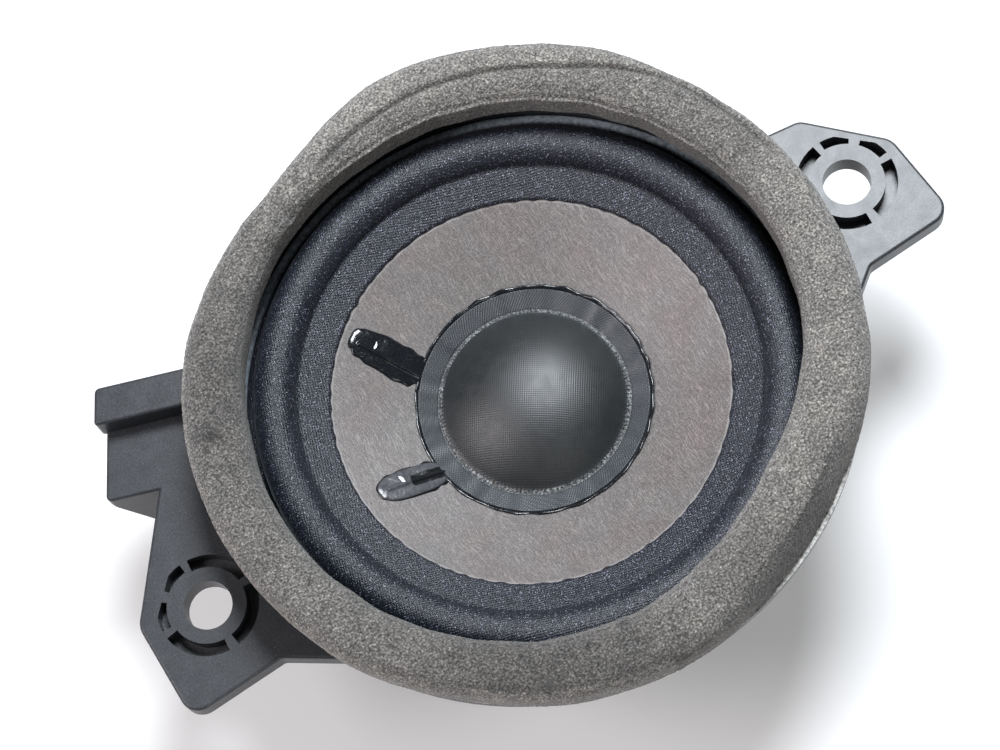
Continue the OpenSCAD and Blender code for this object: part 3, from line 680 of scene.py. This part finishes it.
# %% Cone
cone_back = cone_top(neck_r) - span("cone")[2]
front = [(r, cone_top(r)) for r in np.linspace(neck_r, cone_r, 60)]
section = front + [(r, z - cone_back) for r, z in front[::-4]] + [(neck_r, neck_z - cone_back)]
grid, angles = spin(section, 480)
r = np.hypot(grid[..., 0], grid[..., 1])
grid[..., 2] += 0.05 * wobble(angles, 31, 3, 14)[:, None] * bell(r, 24, 6)
cone = skin("cone_paper_shell", grid)
paper = Finish("cone_paper", Roughness=0.46, Specular_IOR_Level=0.7)
drift = paper.node("ShaderNodeTexNoise", {"Vector": paper.at, "Scale": 1 / (5 * MM),
                                          "Detail": 1.0}).outputs["Color"]
curled = paper.node("ShaderNodeVectorMath", {0: drift, 1: (2.4 * MM,) * 3, 2: paper.at},
                    operation="MULTIPLY_ADD").outputs[0]
fibre = None
for turn_by in (0, 37, 74, 111, 148):
    lying = paper.stretched((1.0, 0.09, 0.09), turn_by, curled)
    one = paper.band(paper.noise(0.15, 1.0, 0.5, lying), 0.62, 0.74)
    fibre = one if fibre is None else paper.math("MAXIMUM", fibre, one)
grain = paper.noise(0.20, 3.0, 0.6)
cloudy = paper.noise(5.0, 2.0)
paper_colour = paper.ramp(grain, (0.30, (0.085, 0.078, 0.075)), (0.55, (0.160, 0.147, 0.141)),
                          (0.75, (0.31, 0.285, 0.273)))
paper_colour = paper.mix(paper.math("MULTIPLY", fibre, 0.34), paper_colour, (0.46, 0.43, 0.415))
paper_colour = paper.mix(0.35, paper_colour, paper.ramp(
    cloudy, (0.3, (0.72, 0.72, 0.74)), (0.7, (1.0, 0.99, 0.98))), "MULTIPLY")
radius = paper.from_axis()
warm = paper.math("MULTIPLY", paper.band(radius, lap_in - 10, lap_in - 6),
                  paper.band(paper.noise(7.0, 2.0), 0.42, 0.62))
paper_colour = paper.mix(paper.math("MULTIPLY", warm, 0.6), paper_colour, (1.0, 0.90, 0.88),
                         "MULTIPLY")
edge_line = paper.math("MULTIPLY", paper.band(radius, lap_in - 0.30, lap_in - 0.12),
                       paper.band(radius, lap_in + 0.06, lap_in - 0.06))
paper_colour = paper.mix(paper.math("MULTIPLY", edge_line, 0.25), paper_colour, (0.62, 0.60, 0.60))
pulp = paper.math("MULTIPLY_ADD", fibre, 0.3, grain)
paper.set(Base_Color=paper_colour, Normal=paper.bump(pulp, 0.05, 0.8))
wear(cone, paper)
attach(cone, "cone_body")
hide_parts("cone")

# %% [markdown]
# ## The dust cap
#
# A disc of woven cloth is pressed to a shallow dome with a flange. The press leaves fine
# slanting pleats in the flange and a tight ring of notches at the dome's foot, where the
# cloth was gathered. Pleats and notches are too small for a bevel and too regular for
# noise, so they are waves in the skin's own height, some two hundred round the circle.

# %% Dust cap
cap_t = top_at("dust_cap", cap_r) - cone_top(cap_r)
notch_count, notch_high = 144, 0.13
pleat_count, pleat_high, pleat_slant = 240, 0.14, 11
dome_r = neck_r - 0.2
dome_base = neck_z + 0.75
dome_h = cap_top - dome_base
ball = (dome_r ** 2 + dome_h ** 2) / (2 * dome_h)


def dome(r, down=0.0):
    return dome_base + dome_h - ball + math.sqrt(ball ** 2 - r * r) - down


dome_part = [(r, dome(r)) for r in np.linspace(0, dome_r - 0.15, 30)]
foot = [(dome_r + 0.05, dome_base + 0.05), (dome_r + 0.22, dome_base - 0.06)]
flange_part = [(r, cone_top(r) + cap_t) for r in np.linspace(neck_r + 0.35, cap_r - 0.08, 26)]
hem = [(cap_r, cone_top(cap_r) + 0.5 * cap_t), (cap_r, cone_top(cap_r) + 0.01)]
inner_part = [(neck_r, neck_z + 0.01), (dome_r - cap_t, dome(dome_r - cap_t, cap_t))]
inner_part += [(r, dome(r, cap_t)) for r in np.linspace(dome_r - 0.8, 0, 12)]
section = dome_part + foot + flange_part + hem + inner_part
grid, angles = spin(section, 1440)
r = np.hypot(grid[..., 0], grid[..., 1])
upper = np.arange(len(section)) < len(dome_part) + len(foot) + len(flange_part)
a = np.radians(angles)[:, None]
notches = 0.5 + 0.5 * np.cos(notch_count * a)
grid[..., 2] += upper * notch_high * (notches - 0.3) * bell(r, dome_r + 0.28, 0.22)
pleats = 0.5 + 0.5 * np.cos(pleat_count * a + pleat_slant * r)
grid[..., 2] += upper * pleat_high * pleats * np.clip((r - neck_r - 0.3) / 0.3, 0, 1) * (
    1 + 0.35 * wobble(angles, 41, 5, 40)[:, None])
cap = skin("dust_cap_cloth", grid)
cap_finish = Finish("cap_cloth", Roughness=0.46, Specular_IOR_Level=0.95)
cap_weave = cap_finish.weave(0.30, 35)
cap_dope = cap_finish.noise(1.6, 3.0)
cap_colour = cap_finish.ramp(cap_weave, (0.0, (0.003, 0.005, 0.006)), (1.0, (0.014, 0.018, 0.020)))
radius = cap_finish.from_axis()
at_foot = cap_finish.math("MULTIPLY", cap_finish.band(radius, neck_r - 0.26, neck_r - 0.04),
                          cap_finish.band(radius, neck_r + 0.26, neck_r + 0.10))
# The dome's foot is made lighter grey in flecks, patchy round the circle
foot_flecks = cap_finish.band(cap_finish.noise(0.30, 2.0, 0.6), 0.44, 0.62)
foot_flecks = cap_finish.math("MULTIPLY", foot_flecks, cap_finish.band(
    cap_finish.noise(3.5, 1.0), 0.40, 0.60, 0.35, 1.0))
on_flange = cap_finish.band(radius, neck_r + 0.3, neck_r + 0.6, 0.0, 0.6)
cap_colour = cap_finish.mix(on_flange, cap_colour, (0.050, 0.058, 0.068))
cap_colour = cap_finish.mix(cap_finish.math("MULTIPLY", at_foot, foot_flecks), cap_colour,
                            (0.34, 0.36, 0.37))
cap_height = cap_finish.math("ADD", cap_weave, cap_finish.math(
    "MULTIPLY", cap_finish.noise(0.12, 2.0), 0.6))
cap_finish.set(Base_Color=cap_colour, Normal=cap_finish.bump(cap_height, 0.022, 0.8),
               Roughness=cap_finish.band(cap_dope, 0.3, 0.7, 0.40, 0.50))
wear(cap, cap_finish)
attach(cap, "cone_body")
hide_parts("dust_cap")

# %% [markdown]
# ## Glue
#
# Black glue is laid by hand: a bead round the cap's edge, thick on one side and thin on
# the other, and a streak over each of the coil's two wires, with a rounded end and a
# ridge where the wire lies. All three are wet-looking and irregular, so their skins are
# built from an outline that wanders and a height that swells.

# %% Bead round the dust cap
bead_amount = [(0, 0.9), (57, 1.0), (90, 0.9), (118, 0.6), (150, 0.45), (185, 0.5),
               (220, 0.55), (260, 0.6), (300, 0.8), (330, 0.95)]
count, steps = 1080, 12
angles = np.arange(count) * 360 / count
amount = round_about(angles, bead_amount) + 0.07 * wobble(angles, 51, 6, 36)
amount = np.clip(amount, 0.22, 1.25)[:, None]
half = np.radians(np.linspace(0, 180, steps))[None, :]
middle = cap_r + 0.22 + 0.045 * wobble(angles, 52, 8, 40)[:, None]
wide = 0.12 + 0.24 * amount
br = middle + wide * np.cos(half)
bz = cone_top(br) + 0.03 + 0.52 * amount * np.sin(half) ** 0.8
low_r = middle + wide * np.linspace(-0.9, 0.9, 4)[None, :]
br = np.concatenate([br, low_r], 1)
bz = np.concatenate([bz, cone_top(low_r) - 0.05], 1)
a = np.radians(angles)[:, None]
bead = skin("dust_cap_glue_bead", np.stack([br * np.cos(a), br * np.sin(a), bz], -1))


# %% Streaks over the coil's wires
squareness = 2.9


def streak(name, seed, heading, root_turn, root_r, tip_r, width, tall, wire_side):
    """Glue from the cap's edge at one angle to a rounded tip at another."""
    def place(r, turn):
        return np.array([r * math.cos(math.radians(turn)), r * math.sin(math.radians(turn))])
    root, tip = place(root_r, root_turn), place(tip_r, heading)
    middle, along = (root + tip) / 2, (tip - root) / 2
    length = float(np.hypot(*along))
    along = along / length
    side = np.array([-along[1], along[0]])
    turns = np.arange(240) * 1.5
    t = np.radians(turns)
    power = 2 / squareness
    x = np.sign(np.cos(t)) * np.abs(np.cos(t)) ** power
    y = np.sign(np.sin(t)) * np.abs(np.sin(t)) ** power * (1.02 - 0.08 * x)
    x = x + 0.012 * wobble(turns, seed, 3, 12)
    y = y * (1 + 0.05 * wobble(turns, seed + 1, 3, 16))
    share = np.concatenate([np.linspace(0, 0.9, 26), [0.95, 0.985, 1.0], [0.97, 0.6, 0.0]])
    s, w = np.outer(x, share) * length, np.outer(y, share) * width / 2
    spot = middle + s[..., None] * along + w[..., None] * side
    r = np.hypot(spot[..., 0], spot[..., 1])
    swell = np.clip(1 - share ** 3.5, 0, 1) ** 0.5
    lump = 0.07 * swirl(s, w, seed, 3.4)
    ridge = bell(w, wire_side * width, 0.24) * (s > -length) * (s < 0.72 * length)
    z = cone_top(r) + swell * (tall * (1 + lump) + 0.36 * ridge)
    z[:, -3:] = cone_top(r[:, -3:]) - 0.06
    piece = skin(name, np.dstack([spot[..., 0], spot[..., 1], z]))
    flat = radii(piece)[1][:, :2] - middle
    across, ahead = (flat @ side) / (width / 2), (flat @ along) / length
    mark(piece, "rim", (np.abs(across) ** squareness + np.abs(ahead) ** squareness) ** (1 / squareness))
    mark(piece, "core", np.exp(-(across / 0.42) ** 4) * np.clip((0.12 - ahead) / 0.16, 0, 1))
    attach(piece, "cone_body")
    return piece


upper_streak = streak("lead_glue_streak_upper", 61, 128.0, 132.5, cap_r - 0.5, 26.0, 5.0, 0.66, 0.10)
lower_streak = streak("lead_glue_streak_lower", 71, 180.5, 186.0, cap_r - 0.8, 24.7, 4.4, 0.50, 0.02)
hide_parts("lead_glue_upper")
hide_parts("lead_glue_lower")

# %% Glue finishes
black_glue = Finish("black_glue", Roughness=0.2, Specular_IOR_Level=0.6)
dimples = black_glue.noise(0.8, 3.0, 0.55)
fine = black_glue.noise(0.25, 2.0)
black_glue.set(
    Base_Color=black_glue.ramp(fine, (0.3, (0.003, 0.004, 0.005)), (0.8, (0.012, 0.015, 0.020))),
    Roughness=black_glue.band(fine, 0.35, 0.7, 0.12, 0.24),
    Normal=black_glue.bump(black_glue.math("ADD", dimples, black_glue.math(
        "MULTIPLY", fine, 0.2)), 0.05, 0.7))
grey_glue = Finish("grey_glue", Roughness=0.24, Specular_IOR_Level=0.5)
dimples = grey_glue.noise(0.9, 3.0, 0.55)
dried = grey_glue.ramp(grey_glue.noise(0.5, 3.0), (0.3, (0.055, 0.058, 0.064)),
                       (0.7, (0.105, 0.110, 0.118)))
shaky = grey_glue.math("MULTIPLY_ADD", dimples, 0.5, -0.25)
core = grey_glue.band(grey_glue.math("ADD", grey_glue.attribute("core"), shaky), 0.40, 0.60)
brink = grey_glue.band(grey_glue.attribute("rim"), 0.88, 0.96)
glue_colour = grey_glue.mix(grey_glue.math("MAXIMUM", core, brink), dried, (0.007, 0.008, 0.010))
grey_glue.set(Base_Color=glue_colour, Normal=grey_glue.bump(dimples, 0.10, 0.7))
wear(bead, black_glue)
wear(upper_streak, black_glue)
wear(lower_streak, grey_glue)
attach(bead, "cone_body")
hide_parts("dust_cap_glue")

# %% [markdown]
# ## The spider
#
# Behind the cone a corrugated disc of yellow cotton, stiff with resin, keeps the coil
# centred. It is turned like the surround, from a section with four waves. It crosses the
# same joint as the surround too, and its share by radius is counted the same way.

# %% Spider
spider_in, spider_out, _, spider_high = span("spider")
spider_t, neck_h = 0.35, 1.3
spider_z = spider_high - neck_h
wave_in, wave_out, wave_h, waves = spider_in + 1.4, spider_out - 3.2, 0.6, 4


def spider_mid(r):
    share = np.clip((r - wave_in) / (wave_out - wave_in), 0, 1)
    return spider_z + wave_h * np.sin(2 * np.pi * waves * share)


disc = np.concatenate([[spider_in + spider_t], np.linspace(wave_in, wave_out, 64), [spider_out]])
section = [(spider_in, spider_high), (spider_in + spider_t, spider_high)]
section += [(r, spider_mid(r) + spider_t / 2) for r in disc]
section += [(r, spider_mid(r) - spider_t / 2) for r in disc[::-1]]
section += [(spider_in, spider_z - spider_t / 2)]
grid, angles = spin(section, 300)
spider = skin("spider_cloth_disc", grid)
resin_cloth = Finish("spider_cloth", Roughness=0.75, Specular_IOR_Level=0.3, Sheen_Weight=0.1)
knit = resin_cloth.weave(0.45, 10)
resin = resin_cloth.noise(2.0, 3.0)
cotton = resin_cloth.ramp(knit, (0.0, (0.22, 0.12, 0.035)), (1.0, (0.58, 0.38, 0.13)))
resin_cloth.set(
    Base_Color=resin_cloth.mix(0.4, cotton, resin_cloth.ramp(
        resin, (0.3, (0.6, 0.55, 0.5)), (0.7, (1.0, 0.98, 0.95))), "MULTIPLY"),
    Normal=resin_cloth.bump(knit, 0.12, 0.9))
wear(spider, resin_cloth)
bend_by_radius(spider, wave_out, wave_in)
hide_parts("spider")

# %% [markdown]
# ## Flexible leads
#
# From each terminal a braided tinsel lead hangs in a loose loop to the cone, slack
# enough for the cone's whole travel. Its route is a curve through four control points,
# the same ones that the CAD lead follows. The nodes lay six strands round it in a twist.

# %% Routes of the two leads
connector_turn = math.radians(158.5)
terminal_x, terminal_y, terminal_z = 28.2, -5.8, -4.3
straight, sag, through_paper, below_paper = 6, 5.6, 0.549, 0.8
lead_ends = {"upper": (128.0, 23.015, -2.5), "lower": (180.5, 21.461, 2.5)}


def from_connector(x, y, z):
    c, s = math.cos(connector_turn), math.sin(connector_turn)
    return np.array([x * c - y * s, x * s + y * c, z])


def lead_route(side, steps=48):
    heading, r, off = lead_ends[side]
    start = from_connector(terminal_x, terminal_y + off, terminal_z)
    ahead = from_connector(terminal_x - straight, terminal_y + off, terminal_z)
    h = math.radians(heading)
    end = np.array([r * math.cos(h), r * math.sin(h), cone_top(r) - through_paper - below_paper])
    t = np.linspace(0, 1, steps)[:, None]
    s = 1 - t
    below = end - [0, 0, sag]
    return s ** 3 * start + 3 * s * s * t * ahead + 3 * s * t * t * below + t ** 3 * end


# %% Twisted strands
tinsel = Finish("tinsel", Metallic=0.55, Roughness=0.45)
braid = tinsel.noise(0.10, 2.0)
tinsel.set(Base_Color=tinsel.ramp(braid, (0.3, (0.28, 0.20, 0.12)), (0.7, (0.62, 0.50, 0.36))),
           Normal=tinsel.bump(braid, 0.04, 0.6))
for side in lead_ends:
    route = lead_route(side)
    line = bpy.data.meshes.new("tinsel_lead_" + side + "_strands")
    line.from_pydata((route * MM).tolist(), [(k, k + 1) for k in range(len(route) - 1)], [])
    lead = bpy.data.objects.new(line.name, line)
    scene.collection.objects.link(lead)
    twist = Rule("twisted_strands_" + side, strands=6, strand_radius=0.15 * MM,
                 rope_radius=0.29 * MM, twist_length=2.4 * MM)
    path = twist.node("GeometryNodeMeshToCurve", {"Mesh": twist.given("Geometry")}).outputs[0]
    gone = twist.node("GeometryNodeSplineParameter").outputs["Length"]
    turned = twist.node("ShaderNodeMath", {0: gone, 1: twist.given("twist_length")},
                        operation="DIVIDE").outputs[0]
    tilt = twist.node("ShaderNodeMath", {0: turned, 1: math.tau}, operation="MULTIPLY").outputs[0]
    tilted = twist.node("GeometryNodeSetCurveTilt", {"Curve": path, "Tilt": tilt}).outputs[0]
    places = twist.node("GeometryNodeMeshCircle", {
        "Vertices": twist.given("strands"), "Radius": twist.given("rope_radius")}).outputs[0]
    strand = twist.node("GeometryNodeCurvePrimitiveCircle", {
        "Resolution": 8, "Radius": twist.given("strand_radius")}).outputs[0]
    laid = twist.node("GeometryNodeInstanceOnPoints", {
        "Points": places, "Instance": strand}).outputs[0]
    profile = twist.node("GeometryNodeRealizeInstances", {"Geometry": laid}).outputs[0]
    rope = twist.node("GeometryNodeCurveToMesh", {
        "Curve": tilted, "Profile Curve": profile, "Fill Caps": True}).outputs[0]
    twist.apply(lead, rope, tinsel)
    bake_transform(lead)
    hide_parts("tinsel_lead_" + side)

# %% [markdown]
# ## The voice coil
#
# Enamelled copper wire, wound in two layers on the former. Each turn is so nearly a ring
# that rings stand for them: one ring is instanced up the winding, at the wire's pitch.

# %% Winding
coil_in, coil_out, coil_low, coil_high = span("voice_coil")
wire = (coil_out - coil_in) / 2
turn_count = int((coil_high - coil_low) / wire)
seat = bpy.data.meshes.new("voice_coil_turns")
seat.from_pydata([(0, 0, coil_low * MM)], [], [])
coil = bpy.data.objects.new("voice_coil_turns", seat)
scene.collection.objects.link(coil)
enamel = Finish("enamelled_wire", Metallic=0.7, Roughness=0.25)
enamel_tone = enamel.noise(1.2, 3.0)
enamel.set(Base_Color=enamel.ramp(enamel_tone, (0.3, (0.30, 0.09, 0.03)), (0.7, (0.55, 0.20, 0.07))),
           Normal=enamel.bump(enamel_tone, 0.02, 0.5))
wind = Rule("wound_turns", turns=turn_count, pitch=wire * MM, inner_radius=(coil_in + wire / 2) * MM,
            outer_radius=(coil_out - wire / 2) * MM, wire_radius=wire / 2 * MM)
offset = wind.node("ShaderNodeCombineXYZ", {"Z": wind.given("pitch")}).outputs[0]
start = wind.node("ShaderNodeCombineXYZ", {"Z": (coil_low + wire / 2) * MM}).outputs[0]
stack = wind.node("GeometryNodeMeshLine", {
    "Count": wind.given("turns"), "Start Location": start, "Offset": offset}).outputs[0]
thickness = wind.node("GeometryNodeCurvePrimitiveCircle", {
    "Resolution": 6, "Radius": wind.given("wire_radius")}).outputs[0]
layers = wind.node("GeometryNodeJoinGeometry")
for label in ("inner_radius", "outer_radius"):
    loop = wind.node("GeometryNodeCurvePrimitiveCircle", {
        "Resolution": 96, "Radius": wind.given(label)}).outputs[0]
    ring = wind.node("GeometryNodeCurveToMesh", {
        "Curve": loop, "Profile Curve": thickness}).outputs[0]
    wind.tree.links.new(ring, layers.inputs[0])
wound = wind.node("GeometryNodeInstanceOnPoints", {
    "Points": stack, "Instance": layers.outputs[0]}).outputs[0]
wind.apply(coil, wound, enamel)
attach(coil, "cone_body")
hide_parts("voice_coil")

# %% [markdown]
# ## The moulded basket
#
# The basket keeps its CAD shape, with the small radii that a mould leaves on its edges.
# Its plastic is black with glass fibre, so the skin is slightly rough, greyish, mottled
# by the flow and sprinkled with tiny bright specks that are dust and fibre ends.

# %% Basket plastic
plastic = Finish("basket_plastic", Roughness=0.36, Specular_IOR_Level=0.6)
flow = plastic.noise(2.2, 4.0, 0.6)
skin_grain = plastic.noise(0.28, 3.0, 0.6)
dust = plastic.band(plastic.noise(0.20, 2.0, 0.7), 0.66, 0.78)
plastic_colour = plastic.ramp(skin_grain, (0.30, (0.011, 0.013, 0.016)), (0.70, (0.040, 0.045, 0.054)))
plastic_colour = plastic.mix(0.6, plastic_colour, plastic.ramp(
    flow, (0.3, (0.55, 0.57, 0.58)), (0.7, (1.0, 1.0, 0.98))), "MULTIPLY")
plastic_colour = plastic.mix(plastic.math("MULTIPLY", dust, 0.5), plastic_colour, (0.55, 0.58, 0.64))
plastic.set(Base_Color=plastic_colour, Roughness=plastic.band(flow, 0.3, 0.7, 0.37, 0.42),
            Normal=plastic.bump(skin_grain, 0.025, 0.8))

# %% [markdown]
# ## The other carried-over pieces
#
# The rest keep their CAD meshes too, and each gets a finish with its own grain: ground
# steel with turning lines, fired ferrite, tape, film, brown paper, amber glue and solder.

# %% Small finishes, made from one pattern


def grained(name, dark, light, size, depth, detail=3.0, **values):
    """A finish that is one noise, seen in both its colour and its relief."""
    made = Finish(name, **values)
    grain = made.noise(size, detail, 0.6)
    made.set(Base_Color=made.ramp(grain, (0.3, dark), (0.7, light)),
             Normal=made.bump(grain, depth, 0.7))
    return made


steel = Finish("plate_steel", Metallic=0.9, Roughness=0.35)
radius = steel.from_axis()
turning = steel.node("ShaderNodeTexNoise", {
    "Vector": steel.node("ShaderNodeCombineXYZ", {"X": radius}).outputs[0], "Scale": 6.0,
    "Detail": 3.0}).outputs["Fac"]
blotch = steel.noise(4.0, 4.0)
steel.set(Base_Color=steel.ramp(blotch, (0.3, (0.44, 0.45, 0.46)), (0.7, (0.56, 0.56, 0.555))),
          Normal=steel.bump(turning, 0.03, 0.6), Roughness=steel.band(blotch, 0.3, 0.7, 0.32, 0.40))
finishes = {
    "basket_plastic": plastic, "enamelled_wire": enamel, "plate_steel": steel,
    "black_glue": black_glue, "grey_glue": grey_glue, "ring_plastic": ring_plastic,
    "gasket_tape": grained("gasket_tape", (0.10, 0.09, 0.08), (0.90, 0.88, 0.84), 0.5, 0.08,
                           Roughness=0.5),
    "solder": grained("solder", (0.42, 0.43, 0.45), (0.74, 0.75, 0.77), 0.5, 0.05,
                      Metallic=0.9, Roughness=0.3),
    "former_film": grained("former_film", (0.16, 0.08, 0.03), (0.30, 0.17, 0.07), 1.5, 0.02,
                           Roughness=0.3),
    "wrap_paper": grained("wrap_paper", (0.38, 0.31, 0.20), (0.62, 0.53, 0.38), 0.4, 0.04,
                          Roughness=0.85),
    "clear_glue": grained("clear_glue", (0.34, 0.24, 0.11), (0.60, 0.46, 0.24), 1.0, 0.12,
                          Roughness=0.18, Coat_Weight=0.4),
    "terminal_metal": grained("terminal_metal", (0.48, 0.44, 0.34), (0.76, 0.72, 0.60), 0.6, 0.02,
                              Metallic=0.9, Roughness=0.3),
    "motor_glue": grained("motor_glue", (0.10, 0.09, 0.07), (0.24, 0.21, 0.16), 0.8, 0.08,
                          Roughness=0.5),
    "ferrite": grained("ferrite", (0.020, 0.020, 0.022), (0.065, 0.063, 0.065), 0.9, 0.08,
                       detail=5.0, Roughness=0.62),
}
for part in frame["record"]["subparts"]:
    node, slot = nodes[part["node"]], part["material_slot"]
    if not node.hide_render:
        node.material_slots[0].material = finishes[slot].material
        print(part["node"], "wears", slot)
